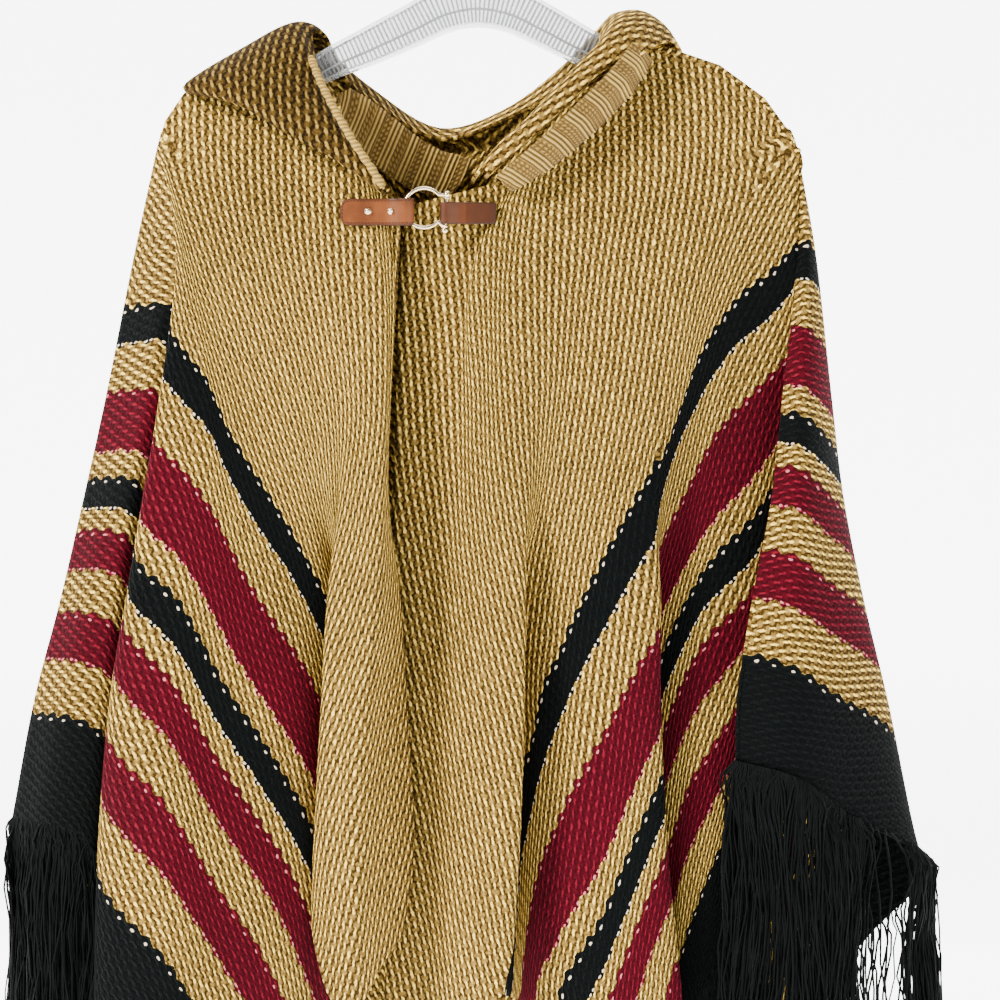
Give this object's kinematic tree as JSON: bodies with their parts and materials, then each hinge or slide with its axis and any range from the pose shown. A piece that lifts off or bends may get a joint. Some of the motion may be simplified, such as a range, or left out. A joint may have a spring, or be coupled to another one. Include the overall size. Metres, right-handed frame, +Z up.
{
  "type": "hooded knit poncho on a clear hanger",
  "caption": "Open-fronted hooded poncho in a chunky striped knit with fringed cuff edges and a strap and ring at the neck, hung on a clear hanger.",
  "frame": {"origin": "inside top of the hanger's hook, where it rests on a rail", "axes": "+Z up, -Y towards the front of the poncho, +X to the right seen from the front"},
  "size_m": [0.6526, 0.2068, 1.1737],
  "materials": {
    "knit": "chunky knit",
    "fringe": "black yarn",
    "leather": "smooth",
    "metal": "polished pale gold",
    "clear_plastic": "clear, ribbed"
  },
  "bodies": {
    "root": {"front_left": "knit", "front_right": "knit", "back": "knit", "hood": "knit", "rib_left": "knit", "rib_right": "knit", "binding_left": "knit", "fringe_front_left": "fringe", "fringe_back_left": "fringe", "fringe_front_right": "fringe", "fringe_back_right": "fringe", "strap_left": "leather", "strap_right": "leather", "ring": "metal", "stud_outer": "metal", "stud_inner": "metal", "hanger": "clear_plastic"}
  },
  "joints": []
}
